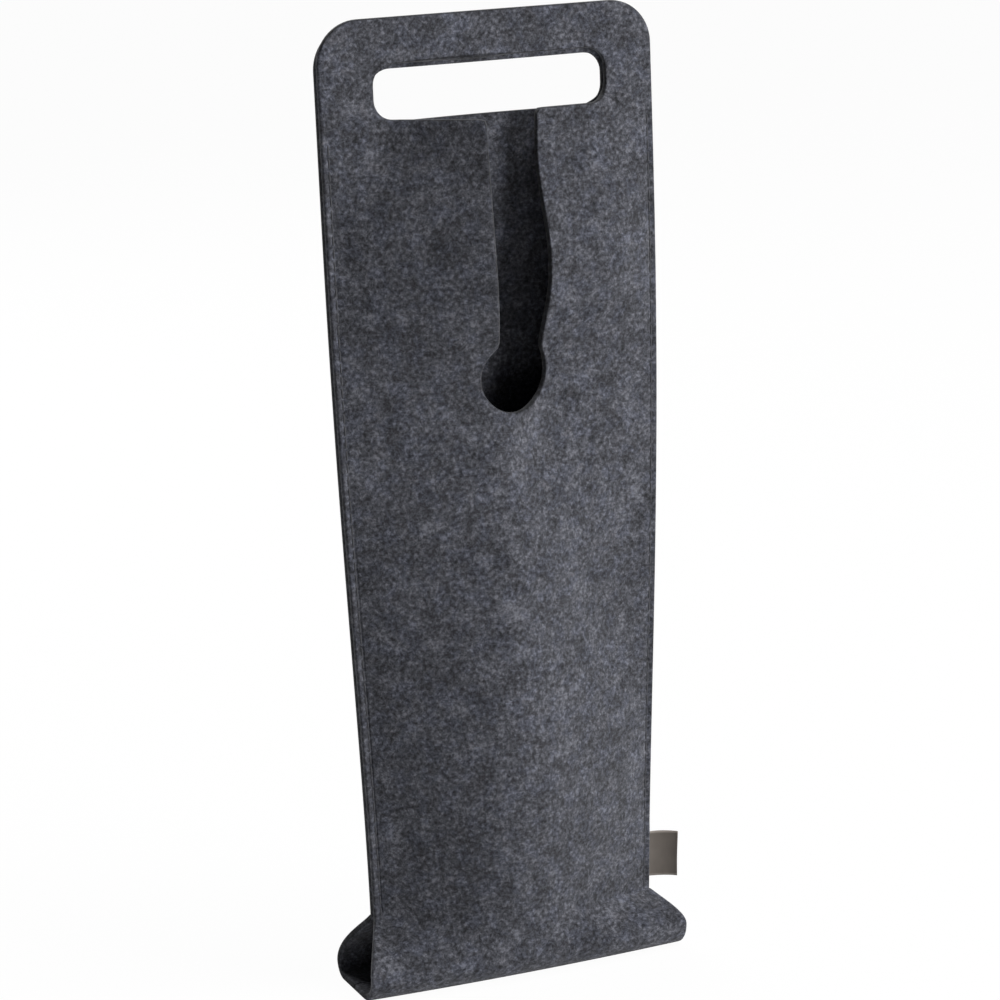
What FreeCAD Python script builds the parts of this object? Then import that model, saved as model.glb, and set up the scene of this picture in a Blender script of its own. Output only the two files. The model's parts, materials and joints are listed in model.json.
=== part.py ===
import FreeCAD, Part
import math
import os

import Sketcher

# A carrier for one bottle, sewn from a single strip of thick felt. The strip runs down the front, under
# the base and up the back. Its two ends lie together as a handle with a hand hole, its sides are joined by
# two seams that stop short of the base, and the front has a slit that ends in a round keyhole.
# Millimetres. X runs along the width, Y from front to back, Z up. The origin is the middle of the base's
# underside.

SIZES = (
    ("strip_width", 140, "width of the felt strip"),
    ("total_height", 392, "base to the top of the front handle"),
    ("felt_thickness", 3, "thickness of the felt"),
    ("layer_gap", 0.6, "room between the two layers where they lie together"),
    ("back_drop", 2, "how much lower the back layer's end lies"),
    ("base_depth", 41, "front to back over the base"),
    ("front_bend_radius", 9, "outside radius of the bend from the base up to the front"),
    ("back_bend_radius", 7, "outside radius of the bend from the base up to the back"),
    ("bend_lip", 1, "straight felt above each bend"),
    ("belly_depth", 28.1, "how far the felt stands off the seam plane at the base"),
    ("swell_power", 1.79, "how slowly the swelling starts to fade above the base"),
    ("swell_ease", 1.5, "how softly it ends below the handle"),
    ("seam_margin", 5, "flat felt beside each seam"),
    ("left_seam_end", 30.7, "height of the left seam's lower end"),
    ("right_seam_end", 21.7, "height of the right seam's lower end"),
    ("hole_width", 97.6, "hand hole, along the width"),
    ("hole_height", 21.5, "hand hole, upwards"),
    ("hole_centre", 1.1, "hand hole's middle, to the right of the centre line"),
    ("hole_top_margin", 17.8, "felt above the hand hole"),
    ("hole_corner_radius", 8, "corners of the hand hole"),
    ("top_corner_radius", 18, "upper corners of the handle"),
    ("flex_gap", 0.4, "room at the line where each handle bends"),
    ("slot_width", 19, "slit in the front"),
    ("slot_centre", 6, "slit's middle, to the right of the centre line"),
    ("keyhole_diameter", 28.6, "round end of the slit"),
    ("keyhole_centre", 2.7, "keyhole's middle, to the right of the centre line"),
    ("keyhole_height", 248.8, "keyhole's middle above the base"),
    ("stitch_inset", 3.2, "stitches to the cut edge"),
    ("stitch_pitch", 5, "one stitch to the next"),
    ("stitch_length", 4.2, "thread that shows of one stitch"),
    ("thread_width", 0.9, "thread across the seam"),
    ("thread_height", 0.5, "thread above the felt"),
    ("label_reach", 12.4, "label's flag, from its bend to its fold"),
    ("label_height", 19.4, "label along the seam"),
    ("label_lift", 4.9, "label above the right seam's lower end"),
    ("label_gap", 0.6, "felt's cut edge to the line where the label bends"),
    ("label_tail", 4, "ribbon held inside the seam"),
    ("ribbon_thickness", 0.2, "one leaf of the folded ribbon"),
    ("ribbon_gap", 0.1, "room between its two leaves"),
    ("ribbon_fold_radius", 0.2, "outside of the ribbon's fold"),
)

HOLE_BOTTOM = "(Sizes.total_height - Sizes.hole_top_margin - Sizes.hole_height)"
FLEX_HEIGHT = "(" + HOLE_BOTTOM + " + Sizes.hole_corner_radius)"
FRONT_REACH = "(Sizes.belly_depth + Sizes.felt_thickness + Sizes.layer_gap)"
UPPER_SECTIONS = 6

doc = FreeCAD.newDocument("bottle_carrier")
sheet = doc.addObject("Spreadsheet::Sheet", "Sizes")
for row, (alias, value, meaning) in enumerate(SIZES, start=1):
    sheet.set("A%d" % row, alias)
    sheet.set("B%d" % row, str(value))
    sheet.setAlias("B%d" % row, alias)
    sheet.set("C%d" % row, meaning)
doc.recompute()


def number(formula):
    """Value of a formula on the sheet's sizes."""
    return float(sheet.evalExpression(formula))


size = {alias: number("Sizes." + alias) for alias, value, meaning in SIZES}
flex_height = number(FLEX_HEIGHT)
hole_bottom = number(HOLE_BOTTOM)


def swell(height, top):
    """Distance from the seam plane to the felt's inner face at mid width: full at the base, none at the top.

    It fades as one less a power of the height, itself raised to a power.
    """
    share = 1 - (height / top) ** size["swell_power"]
    return size["belly_depth"] * share ** size["swell_ease"]


def half_inside(sag):
    """Half the straight width between the seams, once the felt between them bows out by sag.

    The felt keeps its length, so the further it bows, the closer the seams come.
    """
    length = size["strip_width"] - 2 * size["seam_margin"]
    return (length + math.sqrt(length ** 2 - 32 / 3 * sag ** 2)) / 4


def edge_at(height):
    """Half the width over the cut edges of the front layer at a height."""
    return half_inside(swell(height, flex_height)) + size["seam_margin"]


def layer_section(side, level, tilt, inside, sag, face):
    """Outline of one felt layer across the width: a flat margin at each seam and a parabola between them.

    side is -1 for the front and 1 for the back, face is the inner face's distance from the seam plane at
    the margins, and the outline lies in a plane at the given level that rises by tilt along the width.
    """
    thickness = size["felt_thickness"]
    outside = inside + thickness * math.tan(math.atan2(2 * sag, inside) / 2)
    edge = inside + size["seam_margin"]

    def point(x, off):
        return FreeCAD.Vector(x, side * off, level + tilt * x)

    def bow(half, off):
        crown = off + sag * 4 / 3
        curve = Part.BezierCurve()
        third = half / 3
        curve.setPoles([point(-half, off), point(-third, crown), point(third, crown), point(half, off)])
        return curve.toShape()

    outer = face + thickness
    edges = [
        Part.makeLine(point(-edge, face), point(-inside, face)),
        bow(inside, face),
        Part.makeLine(point(inside, face), point(edge, face)),
        Part.makeLine(point(edge, face), point(edge, outer)),
        Part.makeLine(point(edge, outer), point(outside, outer)),
        bow(outside, outer),
        Part.makeLine(point(-outside, outer), point(-edge, outer)),
        Part.makeLine(point(-edge, outer), point(-edge, face)),
    ]
    return Part.Wire(edges)


def felt_shell(name, side, drop, bend):
    """One layer from the base's bend to the line where its handle bends, swelling towards the base."""
    top = flex_height - size["flex_gap"] / 2 - drop
    seam_end = (size["left_seam_end"] + size["right_seam_end"]) / 2
    sections = []
    for step in range(UPPER_SECTIONS + 1):
        level = seam_end + (top - seam_end) * step / UPPER_SECTIONS
        sag = swell(level, flex_height)
        inside = half_inside(sag)
        tilt = 0
        if step == 0:
            tilt = (size["right_seam_end"] - size["left_seam_end"]) / 2 / (inside + size["seam_margin"])
        sections.append(layer_section(side, level, tilt, inside, sag, size["layer_gap"] / 2))
    foot = layer_section(
        side,
        bend + size["bend_lip"],
        0,
        size["strip_width"] / 2 - size["seam_margin"],
        0,
        size["base_depth"] / 2 - size["felt_thickness"],
    )
    lower = Part.makeLoft([foot, sections[0]], True, True)
    upper = Part.makeLoft(sections, True, False)
    shell = doc.addObject("Part::Feature", name)
    shell.Shape = upper.fuse(lower)
    return shell


def square_sketch(body, role, name, walls, radii):
    """Closed outline of upright and level walls in turn, the first upright, rounded where a radius is given.

    Each wall is the formula of its place, and each radius belongs to the corner after its wall.
    """
    sketch = body.newObject("Sketcher::SketchObject", name)
    plane = [feature for feature in body.Origin.OriginFeatures if feature.Role == role][0]
    sketch.AttachmentSupport = [(plane, "")]
    sketch.MapMode = "FlatFace"
    count = len(walls)
    places = [number(formula) for formula in walls]

    def corner(index):
        upright, level = (index, index + 1) if index % 2 == 0 else (index + 1, index)
        return FreeCAD.Vector(places[upright % count], places[level % count], 0)

    def heading(index):
        return (corner(index) - corner((index - 1) % count)).normalize()

    def radius_at(index):
        return number(radii[index]) if radii[index] else 0

    for index in range(count):
        start = corner((index - 1) % count) + heading(index) * radius_at((index - 1) % count)
        end = corner(index) - heading(index) * radius_at(index)
        sketch.addGeometry(Part.LineSegment(start, end))
        sketch.addConstraint(Sketcher.Constraint("Horizontal" if index % 2 else "Vertical", index))

    def bind(constraint, label, formula):
        position = sketch.addConstraint(constraint)
        sketch.renameConstraint(position, label)
        sketch.setExpression("Constraints." + label, formula)

    for index in range(count):
        following = (index + 1) % count
        if not radii[index]:
            sketch.addConstraint(Sketcher.Constraint("Coincident", index, 2, following, 1))
            continue
        radius = radius_at(index)
        ahead = heading(following)
        behind = heading(index) * -1
        centre = corner(index) + (ahead + behind) * radius
        left_turn = heading(index).cross(ahead).z > 0
        first = behind if left_turn else ahead
        away = (corner(index) + first * radius) - centre
        begin = math.atan2(away.y, away.x)
        circle = Part.Circle(centre, FreeCAD.Vector(0, 0, 1), radius)
        arc = sketch.addGeometry(Part.ArcOfCircle(circle, begin, begin + math.pi / 2))
        near, far = (1, 2) if left_turn else (2, 1)
        sketch.addConstraint(Sketcher.Constraint("Tangent", index, 2, arc, near))
        sketch.addConstraint(Sketcher.Constraint("Tangent", arc, far, following, 1))
        bind(Sketcher.Constraint("Radius", arc, radius), "radius_%d" % index, radii[index])

    for index, formula in enumerate(walls):
        kind = "DistanceY" if index % 2 else "DistanceX"
        place = places[index]
        if place == 0:
            sketch.addConstraint(Sketcher.Constraint("PointOnObject", index, 1, -1 if index % 2 else -2))
        elif place > 0:
            bind(Sketcher.Constraint(kind, -1, 1, index, 1, place), "wall_%d" % index, formula)
        else:
            backwards = Sketcher.Constraint(kind, index, 1, -1, 1, -place)
            bind(backwards, "wall_%d" % index, "-(" + formula + ")")
    return sketch


def padded_body(name, role, walls, radii, length):
    """A body padded from one square sketch."""
    body = doc.addObject("PartDesign::Body", name)
    sketch = square_sketch(body, role, name + "_outline", walls, radii)
    pad = body.newObject("PartDesign::Pad", name + "_pad")
    pad.Profile = sketch
    pad.setExpression("Length", length)
    return body, sketch, pad


def handle(name, side):
    """One end of the strip, above the line where it bends: an arch of felt round the hand hole."""
    foot = FLEX_HEIGHT + " + Sizes.flex_gap / 2"
    hole_top = "Sizes.total_height - Sizes.hole_top_margin"
    walls = (
        "-Sizes.strip_width / 2",
        "Sizes.total_height",
        "Sizes.strip_width / 2",
        foot,
        "Sizes.hole_centre + Sizes.hole_width / 2",
        hole_top,
        "Sizes.hole_centre - Sizes.hole_width / 2",
        foot,
    )
    outer = "Sizes.top_corner_radius"
    inner = "Sizes.hole_corner_radius"
    radii = (outer, outer, None, None, inner, inner, None, None)
    body, sketch, pad = padded_body(name, "XZ_Plane", walls, radii, "Sizes.felt_thickness")
    pad.Reversed = side > 0
    body.setExpression("Placement.Base.y", "%d * Sizes.layer_gap / 2" % side)
    if side > 0:
        body.setExpression("Placement.Base.z", "-Sizes.back_drop")
    return body


def base_panel():
    """The strip under the bottle: flat, with a bend up to the front and one up to the back."""
    outer = "Sizes.base_depth / 2"
    inner = "(Sizes.base_depth / 2 - Sizes.felt_thickness)"
    front_bend = "Sizes.front_bend_radius"
    back_bend = "Sizes.back_bend_radius"
    front_lip = front_bend + " + Sizes.bend_lip"
    back_lip = back_bend + " + Sizes.bend_lip"
    walls = ("-" + inner, "Sizes.felt_thickness", inner, back_lip, outer, "0", "-" + outer, front_lip)
    front_inside = front_bend + " - Sizes.felt_thickness"
    back_inside = back_bend + " - Sizes.felt_thickness"
    radii = (front_inside, back_inside, None, None, back_bend, front_bend, None, None)
    body, sketch, pad = padded_body("base_panel", "YZ_Plane", walls, radii, "Sizes.strip_width")
    sketch.setExpression("AttachmentOffset.Base.z", "-Sizes.strip_width / 2")
    return body


def hole_cutter(name, drop):
    """Rounded block of the hand hole's size, through both faces of a layer."""
    block = doc.addObject("Part::Box", name + "_block")
    block.setExpression("Length", "Sizes.hole_width")
    block.setExpression("Width", "2 * " + FRONT_REACH)
    block.setExpression("Height", "Sizes.hole_height")
    block.setExpression("Placement.Base.x", "Sizes.hole_centre - Sizes.hole_width / 2")
    block.setExpression("Placement.Base.y", "-" + FRONT_REACH)
    block.setExpression("Placement.Base.z", HOLE_BOTTOM + " - " + drop)
    doc.recompute()
    radius = size["hole_corner_radius"]
    rounded = doc.addObject("Part::Fillet", name)
    rounded.Base = block
    rounded.Edges = [
        (index, radius, radius)
        for index, edge in enumerate(block.Shape.Edges, start=1)
        if abs(edge.tangentAt(edge.FirstParameter).y) > 0.5
    ]
    return rounded


def front_panel():
    """The front layer below its handle, with the slit, its keyhole and the lower half of the hand hole."""
    slot = doc.addObject("Part::Box", "slot_cutter")
    slot.setExpression("Length", "Sizes.slot_width")
    slot.setExpression("Width", FRONT_REACH)
    slot.setExpression("Height", FLEX_HEIGHT + " - Sizes.keyhole_height")
    slot.setExpression("Placement.Base.x", "Sizes.slot_centre - Sizes.slot_width / 2")
    slot.setExpression("Placement.Base.y", "-" + FRONT_REACH)
    slot.setExpression("Placement.Base.z", "Sizes.keyhole_height")
    keyhole = doc.addObject("Part::Cylinder", "keyhole_cutter")
    keyhole.Placement.Rotation = FreeCAD.Rotation(FreeCAD.Vector(1, 0, 0), 90)
    keyhole.setExpression("Radius", "Sizes.keyhole_diameter / 2")
    keyhole.setExpression("Height", FRONT_REACH)
    keyhole.setExpression("Placement.Base.x", "Sizes.keyhole_centre")
    keyhole.setExpression("Placement.Base.z", "Sizes.keyhole_height")
    cutters = doc.addObject("Part::MultiFuse", "front_cutters")
    cutters.Shapes = [slot, keyhole, hole_cutter("front_hole_cutter", "0")]
    panel = doc.addObject("Part::Cut", "front_panel")
    panel.Base = felt_shell("front_shell", -1, 0, size["front_bend_radius"])
    panel.Tool = cutters
    return panel


def back_panel():
    """The back layer below its handle, with the lower half of the hand hole."""
    panel = doc.addObject("Part::Cut", "back_panel")
    panel.Base = felt_shell("back_shell", 1, size["back_drop"], size["back_bend_radius"])
    panel.Tool = hole_cutter("back_hole_cutter", "Sizes.back_drop")
    return panel


def seam_thread(name, edge_side, layer_side, seam_end):
    """One seam's thread on one face: a row of stitches on the flat margin, from the seam's end upwards."""
    rest = size["layer_gap"] / 2 + size["felt_thickness"]
    half_width = size["thread_width"] / 2
    section = (
        (-half_width, rest),
        (half_width, rest),
        (half_width / 2, rest + size["thread_height"]),
        (-half_width / 2, rest + size["thread_height"]),
    )
    share = size["stitch_length"] / size["stitch_pitch"]

    def seam_point(height):
        return FreeCAD.Vector(edge_side * (edge_at(height) - size["stitch_inset"]), 0, height)

    stitches = []
    for step in range(int((hole_bottom - size["back_drop"] - seam_end) / size["stitch_pitch"])):
        height = seam_end + (step + (1 - share) / 2) * size["stitch_pitch"]
        start = seam_point(height)
        corners = [start + FreeCAD.Vector(x, layer_side * off, 0) for x, off in section]
        face = Part.Face(Part.makePolygon(corners + corners[:1]))
        stitches.append(face.extrude((seam_point(height + size["stitch_pitch"]) - start) * share))
    thread = doc.addObject("Part::Feature", name)
    thread.Shape = Part.makeCompound(stitches)
    return thread


def label_placement(offset):
    """Where the ribbon meets the right seam's cut edge, turned to run along that edge."""
    low = size["right_seam_end"] + size["label_lift"]
    lean = math.atan2(edge_at(low + size["label_height"]) - edge_at(low), size["label_height"])
    rotation = FreeCAD.Rotation(FreeCAD.Vector(0, 1, 0), math.degrees(lean))
    return FreeCAD.Placement(FreeCAD.Vector(edge_at(low) + offset, 0, low), rotation)


def side_label():
    """The ribbon's flag outside the seam: two leaves and the fold at its outer end."""
    outer = "(Sizes.ribbon_gap / 2 + Sizes.ribbon_thickness)"
    inner = "Sizes.ribbon_gap / 2"
    fold = "Sizes.label_reach - Sizes.ribbon_thickness"
    walls = ("0", "-" + inner, fold, inner, "0", outer, "Sizes.label_reach", "-" + outer)
    turn = "Sizes.ribbon_fold_radius"
    radii = (None, None, None, None, None, turn, turn, None)
    body, sketch, pad = padded_body("side_label", "XY_Plane", walls, radii, "Sizes.label_height")
    body.Placement = label_placement(size["label_gap"])
    return body


def label_tails():
    """The ribbon's two ends inside the seam, between the felt layers."""
    leaves = []
    for side in (-1, 1):
        middle = side * (size["ribbon_gap"] + size["ribbon_thickness"]) / 2
        corner = FreeCAD.Vector(-size["label_tail"], middle - size["ribbon_thickness"] / 2, 0)
        leaf = Part.makeBox(size["label_tail"], size["ribbon_thickness"], size["label_height"], corner)
        leaves.append(leaf)
    tails = doc.addObject("Part::Feature", "label_tails")
    tails.Shape = Part.makeCompound(leaves)
    tails.Placement = label_placement(0)
    return tails


pieces = [
    front_panel(),
    back_panel(),
    base_panel(),
    handle("front_handle", -1),
    handle("back_handle", 1),
    seam_thread("left_seam_upper_thread", -1, -1, size["left_seam_end"]),
    seam_thread("left_seam_lower_thread", -1, 1, size["left_seam_end"]),
    seam_thread("right_seam_upper_thread", 1, -1, size["right_seam_end"]),
    seam_thread("right_seam_lower_thread", 1, 1, size["right_seam_end"]),
    side_label(),
    label_tails(),
]
doc.recompute()

for item in doc.Objects:
    if "Invalid" in item.State or "Error" in item.State:
        raise RuntimeError("%s did not build: %s" % (item.Label, item.State))
for piece in pieces:
    piece.Label = piece.Name
    if piece.Shape.isNull() or not piece.Shape.isValid() or not piece.Shape.Solids:
        raise RuntimeError("%s has no valid solid" % piece.Label)

os.makedirs("parts", exist_ok=True)
for piece in pieces:
    piece.Shape.exportStep(os.path.join("parts", piece.Label + ".step"))
    solids = piece.Shape.Solids
    print(piece.Label, len(solids), "solids", round(sum(solid.Volume for solid in solids) / 1000, 3), "cm3")
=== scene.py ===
import json
import math

import bpy
import numpy as np
from mathutils import Matrix, Vector


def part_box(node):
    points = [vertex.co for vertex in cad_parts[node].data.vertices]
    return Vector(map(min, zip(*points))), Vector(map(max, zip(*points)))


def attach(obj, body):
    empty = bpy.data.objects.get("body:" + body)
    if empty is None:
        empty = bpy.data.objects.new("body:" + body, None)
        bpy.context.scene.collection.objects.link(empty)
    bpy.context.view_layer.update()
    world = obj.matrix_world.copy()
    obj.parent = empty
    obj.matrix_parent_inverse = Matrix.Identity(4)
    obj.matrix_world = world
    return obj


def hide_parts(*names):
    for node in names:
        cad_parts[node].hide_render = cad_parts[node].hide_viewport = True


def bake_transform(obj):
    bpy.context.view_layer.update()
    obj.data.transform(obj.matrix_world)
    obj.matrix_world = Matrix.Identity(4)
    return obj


# A felt bottle carrier. The felt is one strip, so each layer here runs without a break from the middle of
# the base up to the end of its handle. Lengths are in metres, in the frame of the solids.

MM = 0.001

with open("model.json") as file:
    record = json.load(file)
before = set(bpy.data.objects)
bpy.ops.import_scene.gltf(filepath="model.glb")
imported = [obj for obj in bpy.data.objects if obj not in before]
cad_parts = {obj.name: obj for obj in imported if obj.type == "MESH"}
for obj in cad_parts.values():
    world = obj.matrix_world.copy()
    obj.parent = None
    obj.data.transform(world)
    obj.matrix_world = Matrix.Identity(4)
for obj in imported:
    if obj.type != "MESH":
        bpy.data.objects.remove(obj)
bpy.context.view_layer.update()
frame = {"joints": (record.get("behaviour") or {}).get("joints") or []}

front_low, front_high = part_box("front_handle")
back_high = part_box("back_handle")[1]
base_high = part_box("base_panel")[1]
panel_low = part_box("front_panel")[0]
joint_height = {joint["name"]: joint["pos_m"][2] for joint in frame["joints"]}

STRIP_HALF = front_high.x
FELT = front_high.y - front_low.y
LAYER_GAP = -2 * front_high.y
BASE_HALF = base_high.y
FLEX_HEIGHT = joint_height["front_handle_bend"]
BELLY = -panel_low.y - FELT - LAYER_GAP / 2
TOPS = {"front": front_high.z, "back": back_high.z}

BEND_RADIUS = {"front": 11 * MM, "back": 7 * MM}
BASE_BOW = 3.4 * MM
SEAM_MARGIN = 3.6 * MM
PRESSED_GAP = 0.1 * MM
LEFT_SEAM_END = 30.7 * MM
RIGHT_SEAM_END = 21.7 * MM
SWELL_POWER = 1.79
SWELL_EASE = 1.5
SWAY = 1.18 * MM
EDGE_START_POWER = 1.9
EDGE_END_POWER = 1.35

HOLE_WIDTH = 97.6 * MM
HOLE_HEIGHT = 21.5 * MM
HOLE_PLACE = 1.1 * MM
HOLE_TOP_MARGIN = 17.8 * MM
HOLE_CORNER = 8 * MM
TOP_CORNER = 17.2 * MM
SLOT_LEFT = -6.2 * MM
SLOT_RIGHT = 15.1 * MM
SLOT_FLARE = 3.7 * MM
KEYHOLE_RADIUS = 15.5 * MM
KEYHOLE_PLACE = 2.5 * MM
KEYHOLE_HEIGHT = 250.2 * MM
NOTCH_BLEND = 0.45 * MM

# A pair gives the height where a change starts, or where it ends if it falls, and the length that it takes.
RIDGE_PLACE = -6 * MM
RIDGE_POWER = 0.64
RIDGE_ROUNDING = 0.05
FLATTER_POWER = 0.6
FLATTER_RISE = (90 * MM, 70 * MM)
FOOT_DRAW = 0.25
FOOT_FALL = (85 * MM, 70 * MM)
SEAM_ROUNDING = 0.9 * MM
SEAM_ROUNDING_SAG = 8 * MM
WAVE_RISE = 60 * MM
WAVE_FALL = 40 * MM
WAVE_SAG = 4 * MM

FLAP_LIFT = 2 * MM
FLAP_RISE = (150 * MM, 85 * MM)
LEAN_LIFT = 19 * MM
LEAN_RISE = (234 * MM, 62 * MM)
FOLD_START = 312 * MM
FOLD_ROUNDING = 0.06
HUMP_LIFT = 4 * MM
HUMP_RISE = (250 * MM, 38 * MM)
HUMP_FALL = (338 * MM, 46 * MM)
HUMP_SPREAD = 3.1 * MM
SHOULDER = 24 * MM
FLAT_SHARE = 0.75
FLAT_WIDTH = 28 * MM
FLAT_RISE = (165 * MM, 95 * MM)
BULGE = 6.5 * MM
BULGE_RISE = (160 * MM, 130 * MM)
HOLE_FADE = 16 * MM
HOLE_FADE_TOP = 24 * MM

CUT_ROUNDING = 0.8 * MM
STITCH_INSET = 2.6 * MM
STITCH_PITCH = 5 * MM
STITCH_LENGTH = 4.2 * MM
GROOVE_DEPTH = 0.35 * MM
GROOVE_WIDTH = 1.2 * MM
GROOVE_END = 3 * MM
GROOVE_EASE = 0.15
THREAD_RADIUS = 0.38 * MM

LABEL_HEIGHT = 19.4 * MM
LABEL_LIFT = 4.9 * MM
LABEL_REACH = 13 * MM
LABEL_TAIL = 4 * MM
LABEL_CURL = 4.5 * MM
LABEL_WAVE = 0.25 * MM
LABEL_WAVE_TURN = 4
LABEL_ROOM = 6 * MM
LABEL_ROOM_RUN = 5 * MM
LEAF_PARTING = 1.2
LEAF_PARTING_MIDDLE = 0.4
RIBBON = 0.2 * MM
RIBBON_GAP = 0.12 * MM

GRID_STEP = 1.5 * MM
SEAM_STEP = 0.5 * MM
SEAM_ZONE = 8 * MM
BEND_STEP = 0.6 * MM
CORNER_TURN = 0.11
SNAP_ROUNDS = 3
STITCH_POINTS = 9
THREAD_SIDES = 8

BEND_MIDDLE = {layer: radius - FELT / 2 for layer, radius in BEND_RADIUS.items()}
FLAT_HALF = {layer: BASE_HALF - radius for layer, radius in BEND_RADIUS.items()}
WALL_START = {layer: FLAT_HALF[layer] + BEND_MIDDLE[layer] * math.pi / 2 for layer in BEND_RADIUS}
HOLE_BOTTOM = TOPS["front"] - HOLE_TOP_MARGIN - HOLE_HEIGHT
NO_HALVES = np.zeros((0, 3), dtype=int)


def spaced(stops, step):
    """Numbers from the first stop to the last, through every stop, at most a step apart."""
    runs = [
        np.linspace(start, end, max(1, math.ceil((end - start) / step - 1e-6)), endpoint=False)
        for start, end in zip(stops[:-1], stops[1:])
    ]
    return np.concatenate(runs + [np.array(stops[-1:])])


def smooth_step(share):
    """0 below 0, 1 above 1, with a soft start and end between them."""
    share = np.clip(share, 0, 1)
    return share * share * (3 - 2 * share)


def rising(value, start, run):
    """0 up to a start and 1 beyond a run after it, with a soft start and end."""
    return smooth_step((value - start) / run)


def falling(value, end, run):
    """1 up to a run before an end and 0 beyond it, with a soft start and end."""
    return smooth_step((end - value) / run)


def box_distance(x, y, half_width, half_height, radius):
    """Distance from a rounded rectangle about the origin, less than nothing inside it."""
    over_x = np.abs(x) - half_width + radius
    over_y = np.abs(y) - half_height + radius
    beyond = np.hypot(np.maximum(over_x, 0), np.maximum(over_y, 0))
    return beyond + np.minimum(np.maximum(over_x, over_y), 0) - radius


def soft_least(distances, blend):
    """The least of several distances, rounded where two of them meet."""
    return -blend * np.log(sum(np.exp(-distance / blend) for distance in distances))


def along_at(layer, height):
    """Distance along the strip, from the middle of the base, of a height on one layer's wall."""
    return WALL_START[layer] + height - BEND_RADIUS[layer]


def swell(height):
    """Distance from the seam plane to the felt's inner face at mid width.

    It is none at the handle and full at the base: one less a power of the height's share, raised to a power
    that eases its upper end.
    """
    share = 1 - np.clip(height / FLEX_HEIGHT, 0, 1) ** SWELL_POWER
    return BELLY * share ** SWELL_EASE


def half_inside(sag):
    """Half the straight width between the seams, once the felt between them bows out by sag.

    The felt keeps its length, which in a flat parabola is the width plus 8/3 of the sag squared over it.
    """
    length = 2 * (STRIP_HALF - SEAM_MARGIN)
    return (length + np.sqrt(length ** 2 - 32 / 3 * sag ** 2)) / 4


def edge_at(height):
    """Half the width over the cut edges at a height."""
    return half_inside(swell(height)) + SEAM_MARGIN


def crown(share):
    """Height of the front's section: 1 at the ridge, less a power of the distance that is rounded there."""
    low = RIDGE_ROUNDING ** RIDGE_POWER
    high = (1 + RIDGE_ROUNDING) ** RIDGE_POWER
    return 1 - ((share ** 2 + RIDGE_ROUNDING) ** RIDGE_POWER - low) / (high - low)


def belly(layer, x, height):
    """How far one layer stands off the seam plane, run out to nothing at the stitches.

    The back bows in a parabola. The front has a soft ridge down it. Beside its right seam the upper part
    runs out flatter, as the section raised to a power, and near the base the ridge draws back to the base's
    own depth.
    """
    sag = swell(height)
    inside = half_inside(sag)
    if layer == "back":
        rise = sag * (1 - np.clip(np.abs(x) / inside, 0, 1) ** 2)
    else:
        ridge = RIDGE_PLACE * smooth_step(sag / BELLY * 2)
        side = np.where(x > ridge, inside - ridge, inside + ridge)
        flatter = 1 + FLATTER_POWER * (x > ridge) * rising(height, *FLATTER_RISE)
        drawn_back = 1 - FOOT_DRAW * falling(height, *FOOT_FALL)
        rise = sag * drawn_back * crown(np.clip(np.abs(x - ridge) / side, 0, 1)) ** flatter
    rounding = SEAM_ROUNDING * np.clip(sag / SEAM_ROUNDING_SAG, 0, 1)
    return (rise + np.sqrt(rise ** 2 + rounding ** 2) - rounding) / 2


def parting(across, height):
    """Gap between the layers at the seams: almost none under the stitches, more round the label."""
    label_foot = RIGHT_SEAM_END + LABEL_LIFT
    label_head = label_foot + LABEL_HEIGHT
    above_foot = rising(height, label_foot - LABEL_ROOM, LABEL_ROOM_RUN)
    below_head = falling(height, label_head + LABEL_ROOM, LABEL_ROOM_RUN)
    on_right = rising(across, STRIP_HALF / 2, STRIP_HALF / 4)
    return PRESSED_GAP + (LAYER_GAP - PRESSED_GAP) * above_foot * below_head * on_right


def below_hole(x, height):
    """1 below the hand hole and 0 in the handle.

    It fades out beside the hole, and under the hole only above its lower edge.
    """
    beside = rising(np.abs(x - HOLE_PLACE), HOLE_WIDTH / 2 - HOLE_CORNER, HOLE_CORNER)
    fade_end = HOLE_BOTTOM + HOLE_FADE_TOP - HOLE_FADE * beside
    return falling(height, fade_end, HOLE_FADE)


def rounded_ramp(share):
    """A ramp from nothing below 0, rounded at its start: half of a share and its rounded size."""
    return (share + np.sqrt(share ** 2 + FOLD_ROUNDING ** 2)) / 2


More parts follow.
